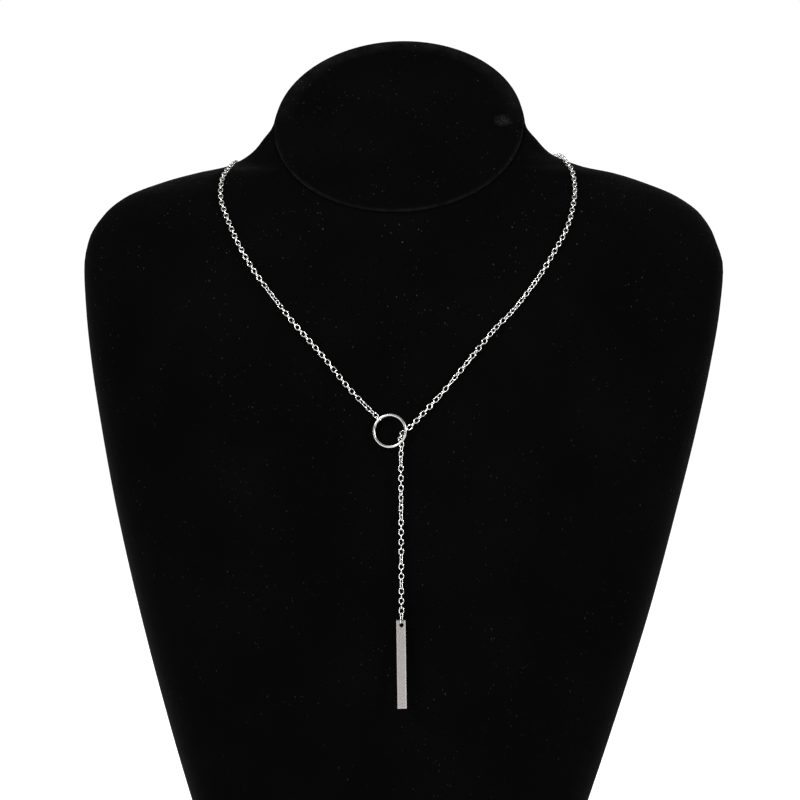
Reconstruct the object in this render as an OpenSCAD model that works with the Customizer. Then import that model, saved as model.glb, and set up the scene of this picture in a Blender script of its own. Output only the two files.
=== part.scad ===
// Bar lariat necklace on a velvet neck bust.
// Millimetres. +Z is up, the bust faces -Y and stands on the plane z = 0.

/* [Bust] */
// Thickness of the board under the bust
base_t = 6; // [4:0.5:8]
// How far the board is set in from the velvet form's outline
base_inset = 1.5; // [0:0.5:3]
// Angle of the slanted neck face from the horizontal
face_tilt = 44; // [42:0.5:46]
// Height of the neck face's front lip
lip_z = 296; // [294:0.5:298]
// Thickness of the oval panel on the neck face
panel_t = 1.6; // [1.2:0.1:2.4]
// How far the panel is set in from the neck's edge
panel_inset = 0.8; // [0.6:0.1:3]

/* [Chain] */
// Wire diameter of a link
wire_d = 0.44; // [0.42:0.01:0.46]
// Outer width of a link
link_w = 2.4; // [2.36:0.01:2.44]
// Distance from one link to the next
pitch = 2.15; // [2.145:0.005:2.155]
// Room between the wires of two links that hold each other
link_gap = 0.2; // [0.18:0.01:0.22]
// Angle of every second link to the velvet under it
lie = 28; // [24:1:32]
// The same angle where the chain climbs over the shoulders
slope_lie = 45; // [42:1:48]

/* [Ring] */
// Outer diameter of the ring
ring_od = 15.2; // [15:0.1:15.4]
// Wire diameter of the ring
ring_wire = 1.2; // [1.1:0.05:1.3]

/* [Bar] */
// Length of the bar
bar_l = 38.7; // [34.2:0.5:42.2]
// Width of the bar
bar_w = 4; // [3.6:0.1:4.4]
// Thickness of the bar
bar_t = 0.8; // [0.7:0.05:0.9]
// Width of the bevel along the bar's front edges
bevel_w = 0.5; // [0.3:0.05:0.7]
// Depth of the bevel along the bar's front edges
bevel_t = 0.2; // [0.1:0.05:0.3]
// Diameter of the hole that the last link passes through
hole_d = 2; // [1.9:0.05:2.1]
// Distance from the bar's top edge to the middle of the hole
hole_drop = 2.2; // [2:0.05:2.2]
// Distance of the hole from the bar's middle line
hole_offset = 0.25; // [0:0.05:0.3]

/* [Hidden] */
velvet = "#141416";
silver = "#c9c8c6";
gap = 0.2;

// Sections of the bust from the ground up, one row for each height, all in millimetres.
// The outline of a section is (x / half)^2 + (y / depth)^(1 / power) = 1 about its middle.
HEIGHT = 0;
MIDDLE = 1;
HALF = 2;
FRONT = 3;
WIDEST = 4;
BACK = 5;
FRONT_POWER = 6;
BACK_POWER = 7;
sections = [
    // height, middle, half width, front, widest depth, back, front power, back power
    [0, -5.1, 80.7, -50, -2, 44, 0.50, 0.34],
    [60, -3.9, 100, -60.5, -1, 47, 0.50, 0.34],
    [115, -2.5, 116.1, -64.5, 0, 48, 0.50, 0.35],
    [160, -1.6, 127.4, -66, 1, 48, 0.50, 0.36],
    [198, -0.4, 135.9, -63.2, 3, 47, 0.50, 0.38],
    [230, 0.6, 142, -57.5, 5, 46, 0.50, 0.39],
    [255, 1.4, 145.6, -49.5, 8, 46, 0.50, 0.40],
    [273, 1.7, 146.9, -42, 10, 47, 0.51, 0.42],
    [287, 1, 143.8, -33.5, 12, 50, 0.54, 0.44],
    [298, 1.2, 137.1, -26, 14, 53, 0.60, 0.46],
    [306, 0.9, 126.8, -19.5, 15, 55, 0.66, 0.48],
    [313, 1.5, 109.5, -14.5, 16, 57, 0.72, 0.50],
    [317, 2.4, 95.7, -12, 16.5, 58, 0.72, 0.51],
    [320, 2.1, 81.8, -9.5, 17, 59, 0.68, 0.53],
    [326, 0.4, 69.1, -5.5, 17.5, 60, 0.58, 0.52],
    [332, 0.2, 63.3, -2, 17.5, 60.2, 0.52, 0.50],
    [340, 0, 57.9, 3, 17.5, 61, 0.50, 0.51],
    [360, 0.9, 58.9, 10, 17.5, 61.6, 0.50, 0.51],
    [390, 3.6, 59.7, 15, 17.5, 62, 0.50, 0.51]
];
last_row = len(sections) - 1;

// A value of the table at any height, on a smooth curve that never overshoots its rows
function rise(i, c) =
    (sections[i + 1][c] - sections[i][c]) / (sections[i + 1][HEIGHT] - sections[i][HEIGHT]);
function steepness(i, c) =
    i == 0 ? rise(0, c)
    : i == last_row ? rise(i - 1, c)
    : let (under = rise(i - 1, c), over = rise(i, c))
      under * over <= 0 ? 0 : 2 * under * over / (under + over);
function row_under(z, i = 0) =
    i >= last_row - 1 || z < sections[i + 1][HEIGHT] ? i : row_under(z, i + 1);
function form(z, c) =
    let (
        i = row_under(z),
        span = sections[i + 1][HEIGHT] - sections[i][HEIGHT],
        u = (z - sections[i][HEIGHT]) / span,
        ease = u * u * (3 - 2 * u)
    )
    (1 - ease) * sections[i][c] + ease * sections[i + 1][c]
    + u * (1 - u) * span * ((1 - u) * steepness(i, c) - u * steepness(i + 1, c));

// A point of the velvet form at a height, with angle 0 at +X, 90 at the back and 270 in front
function form_y(z, angle) =
    sin(angle) < 0
    ? form(z, WIDEST) - (form(z, WIDEST) - form(z, FRONT)) * pow(-sin(angle), 2 * form(z, FRONT_POWER))
    : form(z, WIDEST) + (form(z, BACK) - form(z, WIDEST)) * pow(sin(angle), 2 * form(z, BACK_POWER));
function on_form(z, angle) =
    [form(z, MIDDLE) + form(z, HALF) * cos(angle), form_y(z, angle), z];

// The slanted neck face is a plane that rises from the front lip to the nape
lip_y = form(lip_z, FRONT);
function face_z(y) = lip_z + (y - lip_y) * tan(face_tilt);

// Its rim is an oval that leans a little to the viewer's right
rim_y = 16.75;
rim_at = [-0.35, rim_y, face_z(rim_y)];
rim_across = 58.3;
rim_along = 62.4;
rim_skew = 0.038;
function on_rim(cosine, sine, inset = 0) =
    let (uphill = (rim_along - inset) * sine)
    [(rim_across - inset) * cosine + rim_skew * uphill, uphill];
shoulder_z = 284;
table_top = sections[last_row][HEIGHT];
function column_top(angle, low = shoulder_z, high = table_top, halvings = 24) =
    let (z = (low + high) / 2)
    halvings == 0 ? z
    : z < face_z(form_y(z, angle)) ? column_top(angle, z, high, halvings - 1)
    : column_top(angle, low, z, halvings - 1);

// Rings of points round the form: even ones up to the shoulders, then closer where it turns
// into the neck, as parts of the height left in each column
columns = 60;
low_rings = 18;
high_rings = [
    0.09, 0.18, 0.26, 0.33, 0.39, 0.44, 0.48, 0.515, 0.545, 0.575, 0.605, 0.635,
    0.665, 0.695, 0.73, 0.77, 0.81, 0.86, 0.91, 0.96, 1
];
rings = low_rings + len(high_rings);
tops = [for (i = [0:columns - 1]) column_top(360 * i / columns)];
function ring_share(j) = j <= low_rings ? 0 : high_rings[j - low_rings - 1];
function ring_z(j, i) =
    let (foot = base_t + gap)
    j <= low_rings
    ? foot + (shoulder_z - foot) * j / low_rings
    : shoulder_z + (tops[i] - shoulder_z) * ring_share(j);

// How far the top of a column is from the oval, and the share of that which a ring follows
function to_rim(i) =
    let (
        off = on_form(tops[i], 360 * i / columns) - rim_at,
        uphill = off.y / cos(face_tilt),
        reach = [(off.x - rim_skew * uphill) / rim_across, uphill / rim_along],
        goal = on_rim(reach.x / norm(reach), reach.y / norm(reach)),
        climb = goal.y - uphill
    )
    [goal.x - off.x, climb * cos(face_tilt), climb * sin(face_tilt)];
rim_blend = 0.7;
function follow(share) =
    let (u = max(0, (share - rim_blend) / (1 - rim_blend)))
    u * u * (3 - 2 * u);

rim_moves = [for (i = [0:columns - 1]) to_rim(i)];

module neck_form() {
    points = [
        for (j = [0:rings])
            for (i = [0:columns - 1])
                on_form(ring_z(j, i), 360 * i / columns) + follow(ring_share(j)) * rim_moves[i]
    ];
    walls = [
        for (j = [0:rings - 1])
            for (i = [0:columns - 1])
                let (
                    a = j * columns + i,
                    b = j * columns + (i + 1) % columns,
                    c = b + columns,
                    d = a + columns
                )
                each [[a, d, c], [a, c, b]]
    ];
    floor_face = [for (i = [0:columns - 1]) i];
    top_face = [for (i = [columns - 1:-1:0]) rings * columns + i];
    color(velvet) polyhedron(points, concat(walls, [floor_face], [top_face]), convexity = 6);
}

// The panel follows the neck's rim, set in by the same margin all round
module neck_panel() {
    outline = [
        for (i = [0:columns - 1])
            on_rim(cos(360 * i / columns), sin(360 * i / columns), panel_inset)
    ];
    color(velvet)
        translate(rim_at)
            rotate([face_tilt, 0, 0])
                translate([0, 0, gap])
                    linear_extrude(panel_t) polygon(outline);
}

module base_board() {
    outline = [
        for (i = [0:columns - 1])
            let (
                angle = 360 * i / columns,
                p = on_form(0, angle),
                shrink = 1 - base_inset / form(0, HALF)
            )
            [form(0, MIDDLE) + (p[0] - form(0, MIDDLE)) * shrink, p[1] * shrink]
    ];
    color(velvet) linear_extrude(base_t) polygon(outline);
}

// A point is outside the velvet form when this is over 0, and way_out leads away from the form
AXES = [[1, 0, 0], [0, 1, 0], [0, 0, 1]];
nudge = 0.05;
function outside(p) =
    let (
        z = p[2],
        u = (p[0] - form(z, MIDDLE)) / form(z, HALF),
        depth = p[1] - form(z, WIDEST),
        reach = depth < 0 ? form(z, FRONT) - form(z, WIDEST) : form(z, BACK) - form(z, WIDEST),
        power = form(z, depth < 0 ? FRONT_POWER : BACK_POWER)
    )
    u * u + pow(depth / reach, 1 / power) - 1;
function way_out(p) =
    [for (axis = AXES) (outside(p + nudge * axis) - outside(p - nudge * axis)) / 2 / nudge];
function laid(p, steps = 4) =
    steps == 0 ? p : let (g = way_out(p)) laid(p - g * outside(p) / (g * g), steps - 1);
function unit(v) = v / norm(v);
function lifted(p, lift) =
    let (q = laid([p[0], p[1], p[2]]), extra = len(p) > 3 ? p[3] : 0)
    q + (lift + extra) * unit(way_out(q));

// Puts the child's X and Y axes along two given directions that are square to each other
module place(at, along, across) {
    out = cross(along, across);
    multmatrix([
        [along[0], across[0], out[0], at[0]],
        [along[1], across[1], out[1], at[1]],
        [along[2], across[2], out[2], at[2]],
        [0, 0, 0, 1]
    ])
        children();
}

// The ring lies against the chest, turned a little because the chain passes behind its right side
ring_at = [-4.5, -65.75, 198.5];
ring_turn = 9;
ring_lean = 6;
ring_r = (ring_od - ring_wire) / 2;
ring_across = [cos(ring_turn), -sin(ring_turn), 0];
upright = [0, sin(ring_lean), cos(ring_lean)];
ring_up = unit(upright - (upright * ring_across) * ring_across);
function ring_point(angle) = ring_at + ring_r * (cos(angle) * ring_across + sin(angle) * ring_up);

module ring() {
    color(silver)
        place(ring_at, ring_across, ring_up)
            rotate_extrude($fn = 96) translate([ring_r, 0]) circle(d = ring_wire, $fn = 32);
}

// The chain's way in round numbers: up the left side, round the back, down the right side.
// A fourth number lifts it a little more over the hollow where the neck meets the shoulder.
left_way = [
    [-12, -63, 206.5],
    [-18, -62, 212.5],
    [-24, -60, 219],
    [-35, -56, 232.5],
    [-46.5, -51, 245.5],
    [-54.5, -46, 255.5],
    [-61, -42, 264],
    [-66, -38, 271],
    [-70, -33.5, 277.5],
    [-73.5, -29, 284],
    [-76.5, -24, 290.5],
    [-79.3, -18, 297.3],
    [-80.6, -14.1, 301],
    [-81.2, -9.7, 305.3],
    [-81.1, -4.8, 309.8],
    [-80.5, -0.5, 313.2],
    [-79.3, 4, 316.4],
    [-78.9, 8.5, 318.2],
    [-78.3, 13.5, 320],
    [-77.8, 19, 320.6, 0.05],
    [-76.9, 25, 320.3, 0.15]
];
back_way = [
    [-75, 30.5, 319.9, 0.35],
    [-71, 34.7, 320.8, 0.4],
    [-64.5, 38.7, 322.4, 0.4],
    [-54, 43.8, 325.2, 0.3],
    [-41.5, 50, 328.3, 0.2],
    [-23, 57.1, 331, 0.15],
    [0, 60.2, 331.8, 0.15],
    [23, 57.1, 331, 0.15],
    [41.5, 50, 328.6, 0.2],
    [55, 44, 326, 0.3],
    [65, 36.9, 324.2, 0.4],
    [70.6, 29, 323.9, 0.4]
];
right_way = [
    [72.6, 23.5, 323.9, 0.3],
    [73.6, 18.5, 323.6, 0.15],
    [74.6, 14, 322.6],
    [75.8, 9.8, 321],
    [76.9, 5.8, 319],
    [78, 2, 316.8],
    [78.7, -1.6, 313.9],
    [79.1, -5, 311],
    [79.2, -8.6, 307.8],
    [78.9, -12.3, 303.8],
    [77, -20.5, 295],
    [74, -27, 287],
    [69.5, -33, 279],
    [62, -40.5, 267],
    [54.5, -45.5, 257],
    [49, -49, 250.5],
    [41.5, -52.5, 243],
    [32, -57, 231.5],
    [23, -60, 220.5],
    [17.5, -62, 214],
    [10.5, -63.5, 206.5]
];
// From behind the ring's right side, through it and straight down to the last link's middle
drop_way = [
    [5.7, -64.7, 201.45],
    [3.05, -64.5, 199],
    [1.05, -65.65, 197.6],
    [-0.05, -68.45, 195.05],
    [0.6, -69.2, 193.25],
    [0.6, -68.85, 190.6],
    [0.4, -68.8, 186],
    [0.5, -68.8, 150],
    [0.65, -68.8, 115.65]
];

link_l = pitch + 2 * wire_d + link_gap;
bow_r = (link_w - wire_d) / 2;
leg_l = link_l - link_w;
chain_lift = (link_w + gap) / 2;
ring_hold = link_l / 2 - wire_d - ring_wire / 2 - link_gap;

way = concat(
    [ring_point(130)],
    [for (p = concat(left_way, back_way, right_way)) lifted(p, chain_lift)],
    drop_way
);

// A smooth curve through the way's points, sampled, with its length so far at each sample
samples = 6;
last_way = len(way) - 1;
function between(a, b, c, d, u) =
    b + u / 2 * (c - a + u * (2 * a - 5 * b + 4 * c - d + u * (3 * (b - c) + d - a)));
path = [
    for (i = [0:last_way - 1])
        for (k = [0:samples - 1])
            between(way[max(i - 1, 0)], way[i], way[i + 1], way[min(i + 2, last_way)], k / samples),
    way[last_way]
];
last_sample = len(path) - 1;
function step_from(i) = i < last_sample ? norm(path[i + 1] - path[i]) : 0;
run = [for (i = 0, s = 0; i <= last_sample; s = s + step_from(i), i = i + 1) s];
along_x = [for (i = [0:last_sample]) [run[i], path[i][0]]];
along_y = [for (i = [0:last_sample]) [run[i], path[i][1]]];
along_z = [for (i = [0:last_sample]) [run[i], path[i][2]]];
function chain_at(s) = [lookup(s, along_x), lookup(s, along_y), lookup(s, along_z)];

chain_end = run[last_sample];
back_start = run[samples * len(left_way)];
back_end = run[samples * (len(left_way) + len(back_way) + 1)];
drop_start = run[samples * (last_way + 1 - len(drop_way))];
link_count = ceil((chain_end - ring_hold) / pitch) + 1;
spacing = (chain_end - ring_hold) / (link_count - 1);

// Turn of the links about the chain, by how many links they are above the last one. The last link
// stands edge-on in the bar's hole and the first one edge-on round the ring. The drop is twisted
// here and there, as a chain that hangs free is, and on the velvet it lies on its links' sides.
first_roll = link_count % 2 == 0 ? 180 : 90;
rolls = [
    [0, 90],
    [3, 0],
    [6, 0],
    [9, -90],
    [11, -90],
    [14, -180],
    [20, -180],
    [21, -215],
    [22, -230],
    [25, -235],
    [26, -240],
    [27, -270],
    [31, -270],
    [32, -300],
    [33, -325],
    [35, -332],
    [36, -346],
    [38, -284],
    [40.5, -264],
    [43.5, -252],
    [48, lie - 270],
    [104, lie - 270],
    [110, slope_lie - 270],
    [136, slope_lie - 270],
    [142, lie - 270],
    [200, lie - 270],
    [206, slope_lie - 270],
    [228, slope_lie - 270],
    [234, lie - 270],
    [link_count - 20, lie - 270],
    [link_count - 1, first_roll - 360]
];
function link_s(k) = ring_hold + k * spacing;
function link_roll(k) =
    let (above = link_count - 1 - k)
    lookup(above, rolls) + (above % 2) * 90;
function link_out(k) = link_s(k) > drop_start ? [0, -1, 0] : unit(way_out(chain_at(link_s(k))));

// One link lies in its XY plane, its long side along X
module link() {
    for (side = [-1, 1]) {
        translate([side * leg_l / 2, 0, 0])
            rotate([0, 0, side * 90 - 180])
                rotate_extrude(angle = 180, $fn = 32) translate([bow_r, 0]) circle(d = wire_d, $fn = 16);
        translate([-leg_l / 2, side * bow_r, 0])
            rotate([0, 90, 0]) cylinder(d = wire_d, h = leg_l, $fn = 16);
    }
}

module chain_link(k) {
    s = link_s(k);
    along = unit(chain_at(s + spacing / 2) - chain_at(s - spacing / 2));
    out = unit(link_out(k) - (link_out(k) * along) * along);
    side = cross(out, along);
    roll = link_roll(k);
    place(chain_at(s), along, cos(roll) * side + sin(roll) * out) link();
}

module front_chain() {
    color(silver)
        for (k = [0:link_count - 1])
            if (link_s(k) < back_start || link_s(k) > back_end) chain_link(k);
}

// The hidden stretch of the chain is swept as a plain tube along the same way
tube_sides = 8;
module back_chain() {
    first = link_s(floor((back_start - ring_hold) / spacing));
    last = link_s(ceil((back_end - ring_hold) / spacing));
    start = first + link_l / 2 + gap;
    stop = last - link_l / 2 - gap;
    turns = ceil((stop - start) / (2.4 * link_w));
    points = [
        for (j = [0:turns])
            let (
                s = start + (stop - start) * j / turns,
                at = chain_at(s),
                along = unit(chain_at(s + 1) - chain_at(s - 1)),
                out = unit(way_out(at)),
                side = unit(cross(out, along))
            )
            for (i = [0:tube_sides - 1])
                let (angle = 360 * i / tube_sides)
                at + link_w / 2 * (cos(angle) * side + sin(angle) * cross(along, side))
    ];
    walls = [
        for (j = [0:turns - 1])
            for (i = [0:tube_sides - 1])
                let (
                    a = j * tube_sides + i,
                    b = j * tube_sides + (i + 1) % tube_sides,
                    c = b + tube_sides,
                    d = a + tube_sides
                )
                each [[a, d, c], [a, c, b]]
    ];
    start_face = [for (i = [0:tube_sides - 1]) i];
    stop_face = [for (i = [tube_sides - 1:-1:0]) turns * tube_sides + i];
    color(silver) polyhedron(points, concat(walls, [start_face], [stop_face]), convexity = 6);
}

// The bar hangs on the last link's lower bow, out of plumb by what its hole is off its middle line
hook_at = way[last_way] - [0, 0, (link_l - wire_d) / 2];
hook_room = (hole_d - wire_d) / 2 - 0.8 * gap;
bar_lean = atan(hole_offset / (bar_l / 2 - hole_drop));

module bar_blank() {
    across = [
        [-bar_w / 2, bar_t / 2],
        [-bar_w / 2, bevel_t - bar_t / 2],
        [bevel_w - bar_w / 2, -bar_t / 2],
        [bar_w / 2 - bevel_w, -bar_t / 2],
        [bar_w / 2, bevel_t - bar_t / 2],
        [bar_w / 2, bar_t / 2]
    ];
    down = [
        [bar_t / 2, 0],
        [bevel_t - bar_t / 2, 0],
        [-bar_t / 2, -bevel_w],
        [-bar_t / 2, bevel_w - bar_l],
        [bevel_t - bar_t / 2, -bar_l],
        [bar_t / 2, -bar_l]
    ];
    intersection() {
        translate([0, 0, -bar_l]) linear_extrude(bar_l) polygon(across);
        rotate([90, 0, 90]) linear_extrude(bar_w, center = true) polygon(down);
    }
}

module bar() {
    color(silver)
        translate(hook_at - [0, 0, hook_room])
            rotate([0, -bar_lean, 0])
                difference() {
                    translate([-hole_offset, 0, hole_drop]) bar_blank();
                    rotate([90, 0, 0]) cylinder(d = hole_d, h = 3 * bar_t, center = true, $fn = 48);
                }
}

neck_form();
neck_panel();
base_board();
front_chain();
back_chain();
ring();
bar();
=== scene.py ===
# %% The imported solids
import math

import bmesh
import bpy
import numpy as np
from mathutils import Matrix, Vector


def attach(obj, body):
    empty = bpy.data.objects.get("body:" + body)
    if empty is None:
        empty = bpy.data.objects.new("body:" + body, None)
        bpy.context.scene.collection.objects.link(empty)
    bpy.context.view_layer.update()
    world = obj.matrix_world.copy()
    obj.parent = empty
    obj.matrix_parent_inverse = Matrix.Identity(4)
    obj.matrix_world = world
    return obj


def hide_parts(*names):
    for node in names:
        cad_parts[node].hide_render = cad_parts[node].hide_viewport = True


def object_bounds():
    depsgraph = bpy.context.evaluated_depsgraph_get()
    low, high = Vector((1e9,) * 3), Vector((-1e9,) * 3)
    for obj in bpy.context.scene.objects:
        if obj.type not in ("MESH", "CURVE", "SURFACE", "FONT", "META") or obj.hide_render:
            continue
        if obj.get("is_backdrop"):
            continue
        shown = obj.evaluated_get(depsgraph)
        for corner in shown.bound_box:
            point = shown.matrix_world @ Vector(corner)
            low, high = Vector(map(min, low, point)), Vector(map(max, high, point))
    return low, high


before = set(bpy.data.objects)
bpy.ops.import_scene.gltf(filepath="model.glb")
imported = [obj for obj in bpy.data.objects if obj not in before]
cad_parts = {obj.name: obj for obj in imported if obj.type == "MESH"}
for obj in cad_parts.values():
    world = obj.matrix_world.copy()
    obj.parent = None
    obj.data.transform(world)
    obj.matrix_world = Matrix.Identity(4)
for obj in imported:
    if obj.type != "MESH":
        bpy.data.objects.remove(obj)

# %% [markdown]
# # A bar lariat on a velvet bust
#
# The object is a fine silver cable chain, worn as a lariat: it runs round the neck of a black
# velvet display bust, its right end is drawn through a small round ring, and it hangs down from
# there with a slim flat bar on its last link. The solids come in already at their real size and
# place, so this script only dresses them: velvet on the bust, real links along the chain's whole
# way, and plated silver on ring and bar. Sizes are given in millimetres, as a jeweller would
# write them, and turned to metres when a mesh is made.

MM = 0.001
cad_low, cad_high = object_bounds()


def show(title, value):
    """Prints one line about what a cell has made or measured."""
    print(f"{title}: {value}")


def unit(v):
    """Vectors cut or stretched to length 1."""
    return v / np.linalg.norm(v, axis=-1, keepdims=True)


show("solids", sorted(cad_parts))
show("box of the solids, mm", [[round(c / MM, 1) for c in corner] for corner in (cad_low, cad_high)])

# %% [markdown]
# ## The form under the velvet
#
# A display bust is a moulded core with velvet glued tightly over it, so its surface is one smooth
# form. It could be sculpted, or lofted through sections. Here it is lofted: each row of the table
# is one horizontal section, half an ellipse-like curve in front and another one behind, and a
# smooth curve that never overshoots runs through the rows. The same few rows then also tell where
# the velvet is, which the chain needs further down.

# %% Sections of the bust
SECTIONS = np.array([
    # height, middle, half width, front, widest depth, back, front power, back power
    [0, -5.1, 80.7, -50, -2, 44, 0.50, 0.34],
    [60, -3.9, 100, -60.5, -1, 47, 0.50, 0.34],
    [115, -2.5, 116.1, -64.5, 0, 48, 0.50, 0.35],
    [160, -1.6, 127.4, -66, 1, 48, 0.50, 0.36],
    [198, -0.4, 135.9, -63.2, 3, 47, 0.50, 0.38],
    [230, 0.6, 142, -57.5, 5, 46, 0.50, 0.39],
    [255, 1.4, 145.6, -49.5, 8, 46, 0.50, 0.40],
    [273, 1.7, 146.9, -42, 10, 47, 0.51, 0.42],
    [287, 1, 143.8, -33.5, 12, 50, 0.54, 0.44],
    [298, 1.2, 137.1, -26, 14, 53, 0.60, 0.46],
    [306, 0.9, 126.8, -19.5, 15, 55, 0.66, 0.48],
    [313, 1.5, 109.5, -14.5, 16, 57, 0.72, 0.50],
    [317, 2.4, 95.7, -12, 16.5, 58, 0.72, 0.51],
    [320, 2.1, 81.8, -9.5, 17, 59, 0.68, 0.53],
    [326, 0.4, 69.1, -5.5, 17.5, 60, 0.58, 0.52],
    [332, 0.2, 63.3, -2, 17.5, 60.2, 0.52, 0.50],
    [340, 0, 57.9, 3, 17.5, 61, 0.50, 0.51],
    [360, 0.9, 58.9, 10, 17.5, 61.6, 0.50, 0.51],
    [390, 3.6, 59.7, 15, 17.5, 62, 0.50, 0.51],
])
HEIGHT, MIDDLE, HALF, FRONT, WIDEST, BACK, FRONT_POWER, BACK_POWER = range(8)
SPANS = np.diff(SECTIONS[:, HEIGHT])
RISES = np.diff(SECTIONS, axis=0) / SPANS[:, None]
UNDER, OVER = RISES[:-1], RISES[1:]
BOTH = np.where(UNDER * OVER > 0, UNDER + OVER, 1)
SLOPES = np.vstack([RISES[:1], np.where(UNDER * OVER > 0, 2 * UNDER * OVER / BOTH, 0), RISES[-1:]])


def section(z):
    """The eight values of the table at any heights, along the last axis."""
    z = np.asarray(z, float)
    i = np.clip(np.searchsorted(SECTIONS[:, HEIGHT], z, side="right") - 1, 0, len(SPANS) - 1)
    u = ((z - SECTIONS[i, HEIGHT]) / SPANS[i])[..., None]
    ease = u * u * (3 - 2 * u)
    bend = u * (1 - u) * SPANS[i][..., None] * ((1 - u) * SLOPES[i] - u * SLOPES[i + 1])
    return (1 - ease) * SECTIONS[i] + ease * SECTIONS[i + 1] + bend


def on_form(z, angle):
    """Points of the form at heights and angles: 0 is the viewer's right, 270 degrees the front."""
    z, angle = np.broadcast_arrays(np.asarray(z, float), angle)
    s = section(z)
    sine = np.sin(angle)
    end = np.where(sine < 0, s[..., FRONT], s[..., BACK])
    power = np.where(sine < 0, s[..., FRONT_POWER], s[..., BACK_POWER])
    y = s[..., WIDEST] + (end - s[..., WIDEST]) * np.abs(sine) ** (2 * power)
    return np.stack([s[..., MIDDLE] + s[..., HALF] * np.cos(angle), y, z], axis=-1)


# %% [markdown]
# ## The slanted neck face
#
# The neck is cut off by a slanted plane, and the edge of that cut is an oval that leans a little
# to the viewer's right. Everything on the face is measured from the oval's middle: how far
# across, how far uphill, and how high over the plane.

# %% Neck face
FACE_TILT = math.radians(44)
LIP_Z, SHOULDER_Z, FOOT_Z = 296, 284, 6.2        # heights of the cut's front, shoulder and foot
LIP_Y = section(LIP_Z)[FRONT]
RIM_X, RIM_Y = -0.35, 16.75                      # the oval's middle
RIM_ACROSS, RIM_ALONG, RIM_SKEW = 58.3, 62.4, 0.038
UPHILL = np.array([0, math.cos(FACE_TILT), math.sin(FACE_TILT)])
FACE_OUT = np.array([0, -math.sin(FACE_TILT), math.cos(FACE_TILT)])


def face_z(y):
    """Height of the slanted neck face at a depth."""
    return LIP_Z + (y - LIP_Y) * math.tan(FACE_TILT)


RIM_AT = np.array([RIM_X, RIM_Y, face_z(RIM_Y)])


def on_face(across, uphill, height=0):
    """Points over the slanted neck face, from the middle of its oval."""
    x = np.asarray(across, float)[..., None] * [1, 0, 0]
    return RIM_AT + x + np.asarray(uphill, float)[..., None] * UPHILL + height * FACE_OUT


def on_rim(cosine, sine, inset=0, height=0):
    """Points on the oval, or on one set in from it, by the cosine and sine of their angle."""
    uphill = (RIM_ALONG - inset) * sine
    return on_face((RIM_ACROSS - inset) * cosine + RIM_SKEW * uphill, uphill, height)


show("neck face, mm", (2 * RIM_ACROSS, 2 * RIM_ALONG))

# %% [markdown]
# ## A closed skin from rings of points
#
# Both the velvet form and the oval panel on its neck are skins over rings of points, closed at
# either end by a fan of triangles. One helper makes both. The quads run with the rings'
# direction, so that their faces point outwards.

# %% Rings to mesh
def skin(name, rings, foot, crown):
    """A closed mesh through rings of points (ring, point, xyz) in mm, with a fan at each end."""
    count, around = rings.shape[:2]
    points = np.vstack([rings.reshape(-1, 3), [foot, crown]]) * MM
    i = np.arange(around)
    after = (i + 1) % around
    faces = []
    for j in range(count - 1):
        low, high = j * around, (j + 1) * around
        faces += np.stack([low + i, low + after, high + after, high + i], axis=1).tolist()
    last = (count - 1) * around
    faces += [(count * around, int(b), int(a)) for a, b in zip(i, after)]
    faces += [(count * around + 1, last + int(a), last + int(b)) for a, b in zip(i, after)]
    mesh = bpy.data.meshes.new(name)
    mesh.from_pydata(points.tolist(), [], faces)
    mesh.shade_smooth()
    piece = bpy.data.objects.new(name, mesh)
    bpy.context.scene.collection.objects.link(piece)
    show(name, f"{len(mesh.polygons)} faces")
    return piece


# %% [markdown]
# ## The velvet form
#
# The real bust turns softly over at the lip of the neck and at the foot, because the cloth and
# its glue round every edge by a millimetre or two. A bevel modifier could do that, but here each
# column of points already knows its own corner, so a short curve from wall to face is simply
# drawn into the rings. The columns end where the plane cuts them, which is not quite the oval, so
# their upper ends are led over to it.

# %% Velvet form
COLUMNS, WALL_ROWS, HALVINGS = 240, 64, 24
LIP_ROUND, FOOT_ROUND = 1.5, 3.0
STEP_DOWN = 0.5            # how far down from its top the direction of a wall is measured
RIM_BLEND = 0.7            # from this share of the neck's height up, the rings turn to the oval
angles = 2 * np.pi * np.arange(COLUMNS) / COLUMNS

# Each column's top is found by halving the height between the shoulder and the table's last row
lows, tops = np.full(COLUMNS, float(SHOULDER_Z)), np.full(COLUMNS, SECTIONS[-1, HEIGHT])
for halving in range(HALVINGS):
    tries = (lows + tops) / 2
    under = tries < face_z(on_form(tries, angles)[:, 1])
    lows, tops = np.where(under, tries, lows), np.where(under, tops, tries)
rims = on_form(tops, angles)
down = unit(on_form(tops - STEP_DOWN, angles) - rims)
wall_tops = tops + LIP_ROUND * down[:, 2]

# How far each column's top is from the oval
off = rims - RIM_AT
uphill = off @ UPHILL
reach = np.stack([(off[:, 0] - RIM_SKEW * uphill) / RIM_ACROSS, uphill / RIM_ALONG])
rim_moves = on_rim(*(reach / np.linalg.norm(reach, axis=0))) - rims
rims = rims + rim_moves
show("furthest that a column is led over, mm", round(np.linalg.norm(rim_moves, axis=1).max(), 1))


def follow(share):
    """How much of the way to the oval a ring goes, by its share of the height over the shoulder."""
    u = max(0, (share - RIM_BLEND) / (1 - RIM_BLEND))
    return u * u * (3 - 2 * u)


def corner(wall, edge, inner, steps=5):
    """Rings that round a corner, from points on the wall to points on the inner side of its edge."""
    t = (np.arange(1, steps) / steps)[:, None, None]
    return (1 - t) ** 2 * wall + 2 * t * (1 - t) * edge + t * t * inner


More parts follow.
